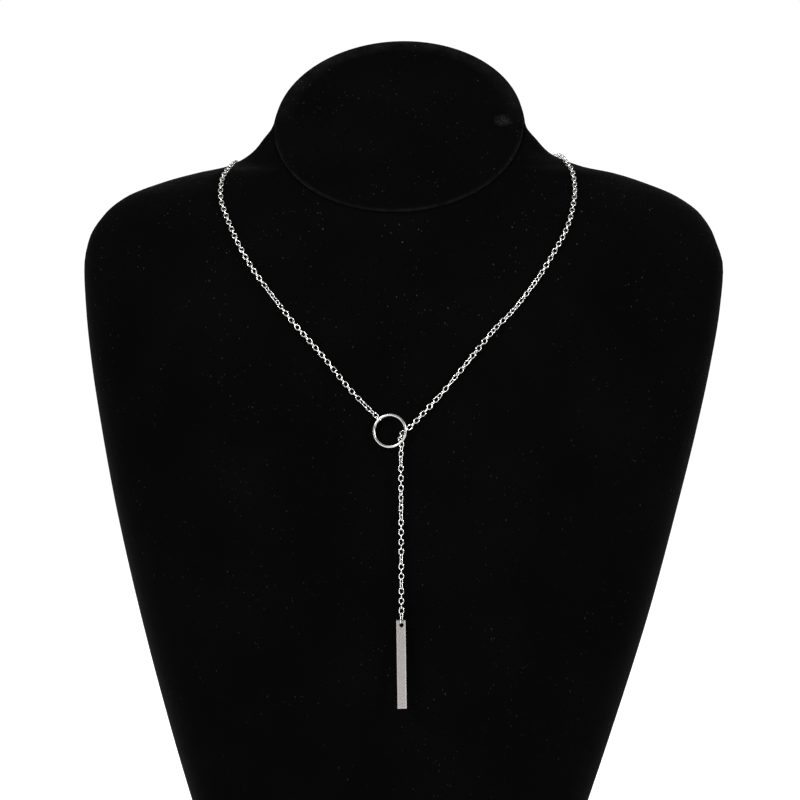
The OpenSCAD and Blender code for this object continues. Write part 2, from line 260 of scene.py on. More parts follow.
# %% Rings of the velvet form
# Shares of the height from the shoulder to the rim, closer together where the neck turns in
SHARES = np.interp(np.arange(0, 21.01, 0.4), np.arange(22), [
    0, 0.09, 0.18, 0.26, 0.33, 0.39, 0.44, 0.48, 0.515, 0.545, 0.575, 0.605, 0.635,
    0.665, 0.695, 0.73, 0.77, 0.81, 0.86, 0.91, 0.96, 1,
])
low_walls = [on_form(z, angles) for z in np.linspace(FOOT_Z + FOOT_ROUND, SHOULDER_Z, WALL_ROWS)]
high_walls = [
    on_form(SHOULDER_Z + (wall_tops - SHOULDER_Z) * share, angles) + follow(share) * rim_moves
    for share in SHARES[1:]
]
rim_inner = rims + LIP_ROUND * unit(RIM_AT - rims)
foot_edge = on_form(FOOT_Z, angles)
foot_middle = np.array([section(0)[MIDDLE], -2, FOOT_Z])
foot_inner = foot_edge + FOOT_ROUND * unit(foot_middle - foot_edge)

rings = [foot_inner, *corner(low_walls[0], foot_edge, foot_inner)[::-1], *low_walls, *high_walls]
rings += [*corner(high_walls[-1], rims, rim_inner), rim_inner, (rim_inner + RIM_AT) / 2]
velvet_form = skin("velvet_form", np.array(rings), foot_middle, RIM_AT)

# %% [markdown]
# ## The oval neck panel
#
# The neck is closed by an oval board under its own piece of velvet, glued on a little inside the
# rim. Its edge is soft and its middle is very slightly crowned by the cloth. Drawn as a profile
# of a few insets and heights that is swept round the oval, it keeps the same margin everywhere.

# %% Neck panel
PANEL_INSET = 0.8
PANEL_PROFILE = [
    # inset, height over the neck face, share of painted sheen on the edge
    [1.2, 0.2, 0],
    [0.45, 0.25, 0.2],
    [0.1, 0.5, 0.6],
    [0, 0.9, 1],
    [0.1, 1.3, 1],
    [0.45, 1.6, 0.6],
    [1.1, 1.78, 0.1],
    [2, 1.85, 0],
    [3.5, 1.9, 0],
    [6, 1.96, 0],
    [9, 2.0, 0],
    [20, 2.1, 0],
    [36, 2.15, 0],
]
# Painted light: shares of painted sheen on the edge and of painted backlit glow at the nape, and the glow
# band's width
EDGE_SHEEN, NAPE_GLOW, NAPE_BAND = 0.38, 0.65, 8        # shares, and mm
rings = [
    on_rim(np.cos(angles), np.sin(angles), PANEL_INSET + inset, height)
    for inset, height, edge_sheen in PANEL_PROFILE
]
panel = skin("velvet_panel", np.array(rings), on_face(0, 0, PANEL_PROFILE[0][1]),
             on_face(0, 0, PANEL_PROFILE[-1][1]))

# Painted light: a thin line of painted sheen runs where the cloth turns round the edge, and a
# wider band of painted backlit glow lies over the nape. Each point carries its share for the finish.
edge_sheen_shares = np.array([edge_sheen for inset, height, edge_sheen in PANEL_PROFILE])
band = np.array([max(0, 1 - inset / NAPE_BAND) for inset, height, edge_sheen in PANEL_PROFILE])
nape = np.clip(np.sin(angles), 0, 1) ** 0.5
rim_sheen = np.maximum(EDGE_SHEEN * edge_sheen_shares[:, None], NAPE_GLOW * band[:, None] * nape).ravel()
rim_sheen = np.concatenate([rim_sheen, [0, 0]]).astype(np.float32)
panel.data.attributes.new("painted_rim_sheen", "FLOAT", "POINT").data.foreach_set("value", rim_sheen)
show("points with painted rim sheen", int((rim_sheen > 0).sum()))

# %% [markdown]
# ## The chain's way
#
# A fine chain lies in one smooth curve. Its way is given by a few dozen points in round numbers,
# each laid onto the velvet and lifted by half a link, and a smooth curve runs through them. Up the
# left side, round the back of the neck and down the right side it follows the velvet. Then it
# passes behind the ring's right side, comes forward through the ring and hangs plumb.

# %% Where the velvet is
def outside(p):
    """Over 0 outside the velvet form, under 0 inside it."""
    s = section(p[..., 2])
    depth = p[..., 1] - s[..., WIDEST]
    end = np.where(depth < 0, s[..., FRONT], s[..., BACK])
    power = np.where(depth < 0, s[..., FRONT_POWER], s[..., BACK_POWER])
    across = (p[..., 0] - s[..., MIDDLE]) / s[..., HALF]
    return across ** 2 + (depth / (end - s[..., WIDEST])) ** (1 / power) - 1


def way_out(p, nudge=0.05):
    """The direction that leads straight away from the velvet, not yet of length 1."""
    steps = nudge * np.eye(3)
    return np.stack([(outside(p + step) - outside(p - step)) / 2 / nudge for step in steps], axis=-1)


def lifted(rows, lift):
    """Rows of x, y, z and extra lift, laid on the velvet and lifted off it."""
    p = rows[:, :3]
    for step in range(4):
        g = way_out(p)
        p = p - g * (outside(p) / (g * g).sum(axis=-1))[:, None]
    return p + (lift + rows[:, 3:]) * unit(way_out(p))


# %% The ring's place
RING_AT = np.array([-4.5, -65.75, 198.5])
RING_TURN, RING_LEAN = math.radians(9), math.radians(6)
RING_OD, RING_WIRE = 15.2, 1.2
RING_HOLD = 130            # degrees round the ring to where the chain's first link holds it
RING_R = (RING_OD - RING_WIRE) / 2
ring_across = np.array([math.cos(RING_TURN), -math.sin(RING_TURN), 0])
upright = np.array([0, math.sin(RING_LEAN), math.cos(RING_LEAN)])
ring_up = unit(upright - (upright @ ring_across) * ring_across)


def ring_point(degrees):
    """A point on the middle of the ring's wire."""
    a = math.radians(degrees)
    return RING_AT + RING_R * (math.cos(a) * ring_across + math.sin(a) * ring_up)


# %% Waypoints
WIRE, LINK_W, PITCH, LINK_GAP = 0.44, 2.4, 2.15, 0.2
LINK_L = PITCH + 2 * WIRE + LINK_GAP
LYING_LIFT = LINK_W / 2 + 0.1          # of the links' middle over the velvet
ON_VELVET = np.array([
    # x, y, z, extra lift: over 0 across the hollow at the neck's foot, under 0 where the chain's
    # weight pulls it into the pile on the crest of the shoulder
    [-12, -63, 206.5, 0],
    [-18, -62, 212.5, 0],
    [-24, -60, 219, 0],
    [-35, -56, 232.5, 0],
    [-46.5, -51, 245.5, 0],
    [-54.5, -46, 255.5, 0],
    [-61, -42, 264, 0],
    [-66, -38, 271, 0],
    [-70, -33.5, 277.5, 0],
    [-73.5, -29, 284, 0],
    [-76.5, -24, 290.5, 0],
    [-79.3, -18, 297.3, 0],
    [-80.6, -14.1, 301, 0],
    [-81.2, -9.7, 305.3, 0],
    [-81.1, -4.8, 309.8, 0],
    [-80.5, -0.5, 313.2, -0.2],
    [-79.3, 4, 316.4, -0.5],
    [-78.4, 8.5, 318.6, -0.7],
    [-77, 13.5, 320.6, -0.7],
    [-76, 19, 321.4, -0.6],
    [-75.2, 25, 321.2, -0.3],
    [-73.9, 30.5, 320.7, 0],
    [-71, 34.7, 320.8, 0],
    [-64.5, 38.7, 322.4, 0.2],
    [-54, 43.8, 325.2, 0.3],
    [-41.5, 50, 328.3, 0.2],
    [-23, 57.1, 331, 0.15],
    [0, 60.2, 331.8, 0.15],
    [23, 57.1, 331, 0.15],
    [41.5, 50, 328.6, 0.2],
    [55, 44, 326, 0.3],
    [65, 36.9, 324.2, 0.4],
    [70.6, 29, 323.9, 0.4],
    [72.6, 23.5, 323.9, 0.3],
    [73.6, 18.5, 323.6, 0.15],
    [74.6, 14, 322.6, 0],
    [75.8, 9.8, 321, 0],
    [76.9, 5.8, 319, 0],
    [78, 2, 316.8, 0],
    [78.7, -1.6, 313.9, 0],
    [79.1, -5, 311, 0],
    [79.2, -8.6, 307.8, 0],
    [78.9, -12.3, 303.8, 0],
    [77, -20.5, 295, 0],
    [74, -27, 287, 0],
    [69.5, -33, 279, 0],
    [62, -40.5, 267, 0],
    [54.5, -45.5, 257, 0],
    [49, -49, 250.5, 0],
    [41.5, -52.5, 243, 0],
    [32, -57, 231.5, 0],
    [23, -60, 220.5, 0],
    [17.5, -62, 214, 0],
    [10.5, -63.5, 206.5, 0],
])
DROP = np.array([
    # x, y, z: behind the ring, through it, over its front and down to the bar
    [5.7, -64.7, 201.45],
    [3.05, -64.5, 199],
    [1.05, -65.65, 197.6],
    [-0.05, -68.45, 195.05],
    [0.6, -69.2, 193.25],
    [0.6, -68.85, 190.6],
    [0.4, -68.8, 186],
    [0.5, -68.8, 150],
    [0.65, -68.8, 115.65],
])
way = np.vstack([[ring_point(RING_HOLD)], lifted(ON_VELVET, LYING_LIFT), DROP])
drop_way_start = len(way) - len(DROP)
show("waypoints", len(way))

# %% One smooth curve through the waypoints
SAMPLES = 6
before = np.vstack([way[:1], way[:-2]])
here, after = way[:-1], way[1:]
beyond = np.vstack([way[2:], way[-1:]])
path = [
    here + u / 2 * (after - before + u * (
        2 * before - 5 * here + 4 * after - beyond + u * (3 * (here - after) + beyond - before)))
    for u in np.arange(SAMPLES) / SAMPLES
]
path = np.vstack([np.stack(path, axis=1).reshape(-1, 3), way[-1:]])
run = np.concatenate([[0], np.cumsum(np.linalg.norm(np.diff(path, axis=0), axis=1))])


def chain_at(s):
    """Points of the chain's middle line at lengths along it."""
    return np.stack([np.interp(s, run, path[:, axis]) for axis in range(3)], axis=-1)


first_s = LINK_L / 2 - WIRE - RING_WIRE / 2 - LINK_GAP
link_count = math.ceil((run[-1] - first_s) / PITCH) + 1
spacing = (run[-1] - first_s) / (link_count - 1)
show("chain length, mm", round(run[-1], 1))
show("links", f"{link_count}, {spacing:.3f} mm apart")

# %% [markdown]
# ## Links along the way
#
# A cable chain is the plainest one: every link is a bent and soldered oval of round wire, turned
# a quarter against its neighbour. Copying a link by hand three hundred times is no way to work, so
# a small Geometry Nodes tree does it. It takes the way as a line whose points carry four values:
# the chain's direction, the direction away from the velvet, the turn of the links and how much
# they may twist by chance. It spaces points evenly, sets a link on each, and realises them.
#
# First comes one small function that adds any node, with its settings and links.

# %% A helper for node trees
def add(tree, kind, inputs=None, **settings):
    """Adds a node. inputs maps a socket's name or number to a value, a socket, or a node, whose
    first output it then takes."""
    node = tree.nodes.new(kind)
    for name, value in settings.items():
        setattr(node, name, value)
    for name, value in (inputs or {}).items():
        if isinstance(value, bpy.types.Node):
            value = value.outputs[0]
        if isinstance(value, bpy.types.NodeSocket):
            tree.links.new(value, node.inputs[name])
        else:
            node.inputs[name].default_value = value
    return node


# %% The link tree
tree = bpy.data.node_groups.new("links along a way", "GeometryNodeTree")
tree.interface.new_socket("Geometry", in_out="OUTPUT", socket_type="NodeSocketGeometry")
tree.interface.new_socket("Way", in_out="INPUT", socket_type="NodeSocketGeometry")
for title, kind in [
    ("Links", "NodeSocketInt"),
    ("Wire", "NodeSocketFloat"),
    ("Link width", "NodeSocketFloat"),
    ("Link length", "NodeSocketFloat"),
    ("Chance twist", "NodeSocketFloat"),
    ("Slow twist", "NodeSocketFloat"),
    ("Seed", "NodeSocketInt"),
    ("Metal", "NodeSocketMaterial"),
]:
    tree.interface.new_socket(title, in_out="INPUT", socket_type=kind)
ins = add(tree, "NodeGroupInput").outputs

# %% One link
# A circle, pulled apart along X into an oval with straight sides, and swept by the wire's circle
BOW_STEPS, WIRE_SIDES = 12, 6
ON_AXIS = 1e6              # rounds to zero what lies within half a millionth of a metre
bow = add(tree, "ShaderNodeMath", {0: ins["Link width"], 1: ins["Wire"]}, operation="SUBTRACT")
bow = add(tree, "ShaderNodeMath", {0: bow, 1: 0.5}, operation="MULTIPLY")
straight = add(tree, "ShaderNodeMath", {0: ins["Link length"], 1: ins["Link width"]}, operation="SUBTRACT")
straight = add(tree, "ShaderNodeMath", {0: straight, 1: 0.5}, operation="MULTIPLY")
circle = add(tree, "GeometryNodeCurvePrimitiveCircle", {"Resolution": BOW_STEPS, "Radius": bow})
place = add(tree, "ShaderNodeSeparateXYZ", {0: add(tree, "GeometryNodeInputPosition")})
side = add(tree, "ShaderNodeMath", {0: place.outputs["X"], 1: ON_AXIS}, operation="MULTIPLY")
side = add(tree, "ShaderNodeMath", {0: side}, operation="ROUND")
side = add(tree, "ShaderNodeMath", {0: side}, operation="SIGN")
pull = add(tree, "ShaderNodeMath", {0: side, 1: straight}, operation="MULTIPLY")
pull = add(tree, "ShaderNodeCombineXYZ", {"X": pull})
oval = add(tree, "GeometryNodeSetPosition", {"Geometry": circle, "Offset": pull})
thin = add(tree, "ShaderNodeMath", {0: ins["Wire"], 1: 0.5}, operation="MULTIPLY")
wire = add(tree, "GeometryNodeCurvePrimitiveCircle", {"Resolution": WIRE_SIDES, "Radius": thin})
link = add(tree, "GeometryNodeCurveToMesh", {"Curve": oval, "Profile Curve": wire})
smooth = add(tree, "GeometryNodeSetShadeSmooth", {"Geometry": link})
show("faces of one link", BOW_STEPS * WIRE_SIDES)

# %% A spot and a turn for each link
# A link points along the way and is turned about it, every second one by a quarter more
DRIFT = 0.17               # how far the slow twist's noise runs on from link to link
along = add(tree, "GeometryNodeInputNamedAttribute", {"Name": "along"}, data_type="FLOAT_VECTOR")
out = add(tree, "GeometryNodeInputNamedAttribute", {"Name": "out"}, data_type="FLOAT_VECTOR")
turn = add(tree, "GeometryNodeInputNamedAttribute", {"Name": "turn"}, data_type="FLOAT")
play = add(tree, "GeometryNodeInputNamedAttribute", {"Name": "play"}, data_type="FLOAT")
line = add(tree, "GeometryNodeMeshToCurve", {"Mesh": ins["Way"]})
spots = add(tree, "GeometryNodeResampleCurve", {"Curve": line, "Count": ins["Links"]})
facing = add(tree, "FunctionNodeAxesToRotation", {
    "Primary Axis": along, "Secondary Axis": out,
}, primary_axis="X", secondary_axis="Z")
index = add(tree, "GeometryNodeInputIndex")
above = add(tree, "ShaderNodeMath", {0: ins["Links"], 1: index}, operation="SUBTRACT")
above = add(tree, "ShaderNodeMath", {0: above, 1: 1.0}, operation="SUBTRACT")
quarter = add(tree, "ShaderNodeMath", {0: above, 1: 2.0}, operation="MODULO")
quarter = add(tree, "ShaderNodeMath", {0: quarter, 1: math.pi / 2}, operation="MULTIPLY")
chance = add(tree, "FunctionNodeRandomValue", {2: -1.0, 3: 1.0, "Seed": ins["Seed"]}, data_type="FLOAT")
chance = add(tree, "ShaderNodeMath", {0: chance.outputs[1], 1: ins["Chance twist"]}, operation="MULTIPLY")
drift = add(tree, "ShaderNodeMath", {0: index, 1: ins["Seed"]}, operation="ADD")
drift = add(tree, "ShaderNodeTexNoise", {"W": drift, "Scale": DRIFT, "Detail": 0.0}, noise_dimensions="1D")
drift = add(tree, "ShaderNodeMath", {0: drift, 1: 0.5}, operation="SUBTRACT")
drift = add(tree, "ShaderNodeMath", {0: drift, 1: 2.0}, operation="MULTIPLY")
drift = add(tree, "ShaderNodeMath", {0: drift, 1: ins["Slow twist"]}, operation="MULTIPLY")
twist = add(tree, "ShaderNodeMath", {0: chance, 1: drift}, operation="ADD")
twist = add(tree, "ShaderNodeMath", {0: twist, 1: play}, operation="MULTIPLY")
roll = add(tree, "ShaderNodeMath", {0: turn, 1: quarter}, operation="ADD")
roll = add(tree, "ShaderNodeMath", {0: roll, 1: twist}, operation="ADD")
about = add(tree, "FunctionNodeAxisAngleToRotation", {"Axis": (1, 0, 0), "Angle": roll})
turned = add(tree, "FunctionNodeRotateRotation", {
    "Rotation": facing, "Rotate By": about,
}, rotation_space="LOCAL")

# %% A link on each spot
links = add(tree, "GeometryNodeInstanceOnPoints", {
    "Points": spots, "Instance": smooth, "Rotation": turned,
})
solid = add(tree, "GeometryNodeRealizeInstances", {"Geometry": links})
silvered = add(tree, "GeometryNodeSetMaterial", {"Geometry": solid, "Material": ins["Metal"]})
add(tree, "NodeGroupOutput", {"Geometry": silvered})
show("nodes in the link tree", len(tree.nodes))

# %% [markdown]
# ## Colours
#
# Screens and colour charts give colours as sRGB hex values, while shaders count in linear light.
# One function turns the one into the other.

# %% Hex to linear
def linear(code):
    """An sRGB hex colour as the linear RGBA that a shader takes."""
    parts = [int(code[i:i + 2], 16) / 255 for i in (1, 3, 5)]
    return [*(c / 12.92 if c <= 0.04045 else ((c + 0.055) / 1.055) ** 2.4 for c in parts), 1]


def new_material(name):
    """A material with an empty tree but for its output and its main shader."""
    material = bpy.data.materials.new(name)
    material.use_nodes = True
    material.node_tree.nodes.clear()
    shader = add(material.node_tree, "ShaderNodeBsdfPrincipled")
    add(material.node_tree, "ShaderNodeOutputMaterial", {"Surface": shader})
    return material, material.node_tree, shader


# %% [markdown]
# ## Black velvet
#
# Velvet is a woven cloth with a dense cut pile that stands up about a millimetre. Light that
# falls into the pile is lost, so it is the blackest cloth there is, and only a faint sheen shows
# where the pile is seen from its side. A dark base without gloss gives the first, the shader's
# sheen the second. A fine bump is the pile's grain, wide soft clouds stand for where hands have
# brushed it, and black velvet also shows every speck of lint.
#
# Each pattern is given by how many fit into a metre. Real pile has a grain of about 0.1 mm, which
# is too fine to show, so it is drawn at 0.4 mm. The clouds are 45 mm wide, and the painted sheen round the
# panel is broken up in patches of 8 mm.

# %% Velvet
PILE, CLOUDS, SHEEN_BREAKUP = 2400.0, 22.0, 130.0
PILE_DEPTH = 0.4           # mm
# The third colour is the fluffed pile of the spot below, and also the painted sheen and backlit glow round
# the panel
DEEP, BRUSHED, FLUFF_AND_SHEEN = linear("#020202"), linear("#050505"), linear("#1e1e1e")
velvet, tree, shader = new_material("black_velvet_cut_pile")
shader.inputs["Roughness"].default_value = 1.0
shader.inputs["Specular IOR Level"].default_value = 0.0
shader.inputs["Sheen Weight"].default_value = 0.037
shader.inputs["Sheen Roughness"].default_value = 0.28
shader.inputs["Sheen Tint"].default_value = linear("#f0f0f4")
place = add(tree, "ShaderNodeTexCoord").outputs["Object"]
clouds = add(tree, "ShaderNodeTexNoise", {"Vector": place, "Scale": CLOUDS, "Detail": 3.0})
colour = add(tree, "ShaderNodeMix", {"Factor": clouds, 6: DEEP, 7: BRUSHED}, data_type="RGBA").outputs[2]

# Painted light: along the panel's edge a line of painted sheen, and at the nape a band of painted backlit
# glow, here more and there less
sheen_breakup = add(tree, "ShaderNodeTexNoise", {
    "Vector": place, "Scale": SHEEN_BREAKUP, "Detail": 5.0, "Roughness": 0.75,
})
sheen_breakup = add(tree, "ShaderNodeMapRange", {"Value": sheen_breakup, "From Min": 0.32, "From Max": 0.72})
edge = add(tree, "ShaderNodeAttribute", attribute_name="painted_rim_sheen").outputs["Fac"]
edge = add(tree, "ShaderNodeMath", {0: edge, 1: sheen_breakup}, operation="MULTIPLY")
colour = add(tree, "ShaderNodeMix", {"Factor": edge, 6: colour, 7: FLUFF_AND_SHEEN}, data_type="RGBA").outputs[2]

# %% Lint on the velvet
# Specks are the middles of Voronoi cells, made ragged by a fine noise and a little longer than wide.
# Real lint is a few hundredths of a millimetre thin, so it is drawn as coarse as it needs to show.
LINT_CELL, LINT_R, LINT_RAGGED = 1.9, 0.34, 0.5        # mm: from speck to speck, largest radius, fray
LINT_SLIM, LINT = (1.5, 1, 0.7), linear("#2c2c2c")
WOBBLE, PATCHES = 1100.0, 45.0         # 0.9 mm and 22 mm
wobble = add(tree, "ShaderNodeTexNoise", {"Vector": place, "Scale": WOBBLE, "Detail": 1.0})
frayed = add(tree, "ShaderNodeVectorMath", {
    0: wobble.outputs["Color"], 1: (LINT_RAGGED * MM,) * 3, 2: place,
}, operation="MULTIPLY_ADD")
slim = add(tree, "ShaderNodeVectorMath", {0: frayed, 1: LINT_SLIM}, operation="MULTIPLY")
cells = add(tree, "ShaderNodeTexVoronoi", {"Vector": slim, "Scale": 1000 / LINT_CELL})
kind = add(tree, "ShaderNodeSeparateColor", {"Color": cells.outputs["Color"]})
patches = add(tree, "ShaderNodeTexNoise", {"Vector": place, "Scale": PATCHES, "Detail": 1.0})
patches = add(tree, "ShaderNodeMapRange", {"Value": patches, "From Min": 0.2, "From Max": 0.6})
reach = add(tree, "ShaderNodeMath", {0: kind.outputs["Red"], 1: patches}, operation="MULTIPLY")
reach = add(tree, "ShaderNodeMath", {0: reach, 1: LINT_R / LINT_CELL}, operation="MULTIPLY")
speck = add(tree, "ShaderNodeMath", {0: cells.outputs["Distance"], 1: reach}, operation="LESS_THAN")
speck = add(tree, "ShaderNodeMath", {0: speck, 1: kind.outputs["Green"]}, operation="MULTIPLY")

# Dust settles on what looks up, so the upright chest shows less of it than the neck face
looks = add(tree, "ShaderNodeSeparateXYZ", {0: add(tree, "ShaderNodeTexCoord").outputs["Normal"]})
settled = add(tree, "ShaderNodeMapRange", {
    "Value": looks.outputs["Z"], "From Min": 0.05, "From Max": 0.45, "To Min": 0.45, "To Max": 1.0,
})
speck = add(tree, "ShaderNodeMath", {0: speck, 1: settled}, operation="MULTIPLY")
colour = add(tree, "ShaderNodeMix", {"Factor": speck, 6: colour, 7: LINT}, data_type="RGBA").outputs[2]

# %% A fluffy spot
# Here something brushed the panel's pile up. Sizes are in mm.
FLUFF_AT, FLUFF_R, FLUFF_CORE, FLUFF_RAGGED = on_face(48, 1.3, 2), 5.2, 1.04, 6
FLUFF_SLIM, FRAY, STRANDS = (1.25, 1, 1), 420.0, 1500.0           # fray 2.4 mm, strands 0.7 mm
away = add(tree, "ShaderNodeVectorMath", {0: place, 1: FLUFF_AT * MM}, operation="SUBTRACT")
away = add(tree, "ShaderNodeVectorMath", {0: away, 1: FLUFF_SLIM}, operation="MULTIPLY")
away = add(tree, "ShaderNodeVectorMath", {0: away}, operation="LENGTH").outputs["Value"]
ragged = add(tree, "ShaderNodeTexNoise", {"Vector": place, "Scale": FRAY, "Detail": 4.0})
ragged = add(tree, "ShaderNodeMath", {0: ragged, 1: 0.5}, operation="SUBTRACT")
ragged = add(tree, "ShaderNodeMath", {0: ragged, 1: FLUFF_RAGGED * MM}, operation="MULTIPLY")
away = add(tree, "ShaderNodeMath", {0: away, 1: ragged}, operation="ADD")
fluff = add(tree, "ShaderNodeMapRange", {
    "Value": away, "From Min": FLUFF_R * MM, "From Max": FLUFF_CORE * MM,
})
strands = add(tree, "ShaderNodeTexNoise", {"Vector": place, "Scale": STRANDS, "Detail": 2.0})
strands = add(tree, "ShaderNodeMapRange", {"Value": strands, "From Min": 0.4, "From Max": 0.65})
fluff = add(tree, "ShaderNodeMath", {0: fluff, 1: strands}, operation="MULTIPLY")
colour = add(tree, "ShaderNodeMix", {"Factor": fluff, 6: colour, 7: FLUFF_AND_SHEEN}, data_type="RGBA").outputs[2]
tree.links.new(colour, shader.inputs["Base Color"])

# %% The pile's grain
pile = add(tree, "ShaderNodeTexNoise", {"Vector": place, "Scale": PILE, "Detail": 2.0})
bump = add(tree, "ShaderNodeBump", {"Height": pile, "Strength": 0.5, "Distance": PILE_DEPTH * MM})
tree.links.new(bump.outputs[0], shader.inputs["Normal"])
for piece in (velvet_form, panel):
    piece.data.materials.append(velvet)
show("nodes in the velvet", len(tree.nodes))

# %% [markdown]
# ## Plated silver
#
# Fashion silver is brass or sterling with a thin bright plating. The chain's wire is tumbled,
# which leaves it shiny but never as even as a mirror: its roughness wanders a little and it is
# very slightly wavy. The ring is drawn wire, burnished by hand, and a little greyer. The bar is
# rubbed lengthwise to a grey satin. All three are one kind of surface with another tone, gloss
# and grain, so one function makes them.
#
# Tumbling and rubbing leave marks of a few hundredths of a millimetre, which are too fine to show.
# They are drawn 1 to 2 mm wide on the wires, and as lines of 0.17 mm on the satin.

# %% Silver finishes
MARK_DEPTH = 0.1           # mm


def plated(name, tone, gloss, grain, relief):
    """A plating by its tone, its range of roughness, and the grain and relief of its surface."""
    material, tree, shader = new_material(name)
    shader.inputs["Base Color"].default_value = linear(tone)
    shader.inputs["Metallic"].default_value = 1.0
    place = add(tree, "ShaderNodeTexCoord").outputs["Object"]
    place = add(tree, "ShaderNodeMapping", {"Vector": place, "Scale": grain})
    marks = add(tree, "ShaderNodeTexNoise", {"Vector": place, "Scale": 1.0, "Detail": 2.0})
    rough = add(tree, "ShaderNodeMapRange", {"Value": marks, "To Min": gloss[0], "To Max": gloss[1]})
    bump = add(tree, "ShaderNodeBump", {
        "Height": marks, "Strength": relief, "Distance": MARK_DEPTH * MM,
    })
    tree.links.new(rough.outputs[0], shader.inputs["Roughness"])
    tree.links.new(bump.outputs[0], shader.inputs["Normal"])
    show("finish", name)
    return material


# Grain is given as marks for each metre along X, Y and Z
silver = plated("tumbled_silver_plate", "#cfcecb", (0.08, 0.24), (900, 900, 900), 0.15)
ring_silver = plated("burnished_silver_plate", "#adaba8", (0.18, 0.34), (500, 500, 500), 0.12)
satin = plated("satin_silver_plate", "#8f8b89", (0.26, 0.42), (6000, 6000, 180), 0.1)

# %% [markdown]
# ## The chain
#
# The line that the tree follows is a plain mesh of points and edges. The turn of the links is
# looked up by how many links a point is above the last one: the last link stands nearly edge-on
# in the bar's hole and those at the ring turn as they pass round its wire. On the velvet every
# second link lies almost flat, and over the shoulders they all lean half on their side. They may
# twist a little by chance as well, as a real chain does, most on the right side.

# %% How the links turn
# Turns in degrees at which every second link lies almost flat on the velvet, leans over a little,
# and leans half on its side as over the shoulders
FLAT, LEANING, ASLANT = -262, -242, -225
TURNS = np.array([
    # links above the last one, turn in degrees, share of the chance twist
    # from the bar's hole up the drop
    [0, -60, 0],
    [2, 0, 0],
    [6, 0, 0.3],
    [9, -90, 0],
    [11, -90, 0.3],
    [14, -180, 0],
    [20, -180, 0.3],
    [21, -215, 0],
    [22, -230, 0],
    [25, -235, 0],
    [26, -240, 0],
    [27, -270, 0.3],
    [31, -270, 0.3],
    # through the ring and behind its right side
    [32, -300, 0],
    [33, -325, 0],
    [35, -332, 0],
    [36, -346, 0],
    [38, -284, 0],
    [40.5, -264, 0],
    [43.5, -252, 0],
    # up the right side and over the shoulder
    [48, LEANING, 1],
    [84, LEANING, 1],
    [88, FLAT, 0.4],
    [103, FLAT, 0.4],
    [109, ASLANT, 0.15],
    [136, ASLANT, 0.15],
    # behind the neck
    [142, LEANING, 1],
    [200, LEANING, 1],
    # over the left shoulder and down the left side to the ring
    [206, ASLANT, 0.15],
    [218, ASLANT, 0.15],
    [226, FLAT, 0.25],
    [256.5, FLAT, 0.25],
    [259, ASLANT, 0],
    [261.5, ASLANT, 0],
    [264, FLAT, 0.25],
    [link_count - 8, FLAT, 0.25],
    [link_count - 5, ASLANT, 0],
    [link_count - 1, -208 if link_count % 2 == 0 else -298, 0],
])
show("rows of turns", len(TURNS))

# %% Values along the way
way_s = np.linspace(first_s, run[-1], link_count)
way_points = chain_at(way_s)
above_last = (run[-1] - way_s) / spacing
drop_from = run[SAMPLES * drop_way_start]
values = {
    "along": unit(chain_at(way_s + spacing / 2) - chain_at(way_s - spacing / 2)),
    "out": np.where((way_s > drop_from)[:, None], [0, -1, 0], unit(way_out(way_points))),
    "turn": np.radians(np.interp(above_last, TURNS[:, 0], TURNS[:, 1])),
    "play": np.interp(above_last, TURNS[:, 0], TURNS[:, 2]),
}
mesh = bpy.data.meshes.new("chain_way")
mesh.from_pydata((way_points * MM).tolist(), [(i, i + 1) for i in range(len(way_s) - 1)], [])
for title, rows in values.items():
    kind, field = ("FLOAT", "value") if rows.ndim == 1 else ("FLOAT_VECTOR", "vector")
    mesh.attributes.new(title, kind, "POINT").data.foreach_set(field, rows.astype(np.float32).ravel())
chain_way = bpy.data.objects.new("chain_way", mesh)
bpy.context.scene.collection.objects.link(chain_way)
show("values on the way", list(values))


# %% Chain
def grown(maker, tree, sizes, name):
    """Runs a node tree on an object and returns the result as a plain mesh object."""
    modifier = maker.modifiers.new("grow", "NODES")
    modifier.node_group = tree
    for item in tree.interface.items_tree:
        if item.name in sizes and item.in_out == "INPUT":
            modifier[item.identifier] = sizes[item.name]
    evaluated = maker.evaluated_get(bpy.context.evaluated_depsgraph_get())
    mesh = bpy.data.meshes.new_from_object(evaluated)
    mesh.name = name
    mesh.materials.clear()           # the maker's own empty slot came along
    mesh.materials.append(sizes["Metal"])
    piece = bpy.data.objects.new(name, mesh)
    bpy.context.scene.collection.objects.link(piece)
    maker.modifiers.remove(modifier)
    bpy.data.objects.remove(maker)
    show(name, f"{len(mesh.polygons)} faces")
    return piece


SHOWN_GAP = 0.08                 # mm: the solids' links stay 0.2 mm apart, real ones all but touch
CHANCE_TWIST, SLOW_TWIST = math.radians(14), math.radians(50)
chain = grown(chain_way, bpy.data.node_groups["links along a way"], {
    "Links": link_count,
    "Wire": WIRE * MM,
    "Link width": LINK_W * MM,
    "Link length": (LINK_L - LINK_GAP + SHOWN_GAP) * MM,
    "Chance twist": CHANCE_TWIST,
    "Slow twist": SLOW_TWIST,
    "Seed": 7,
    "Metal": silver,
}, "cable_chain")

# %% [markdown]
# ## The ring
#
# The ring is a soldered hoop of round wire, a torus. It is drawn by hand from two angles, one
# round the hoop and one round the wire, so that it gets as many steps as a smooth edge needs.

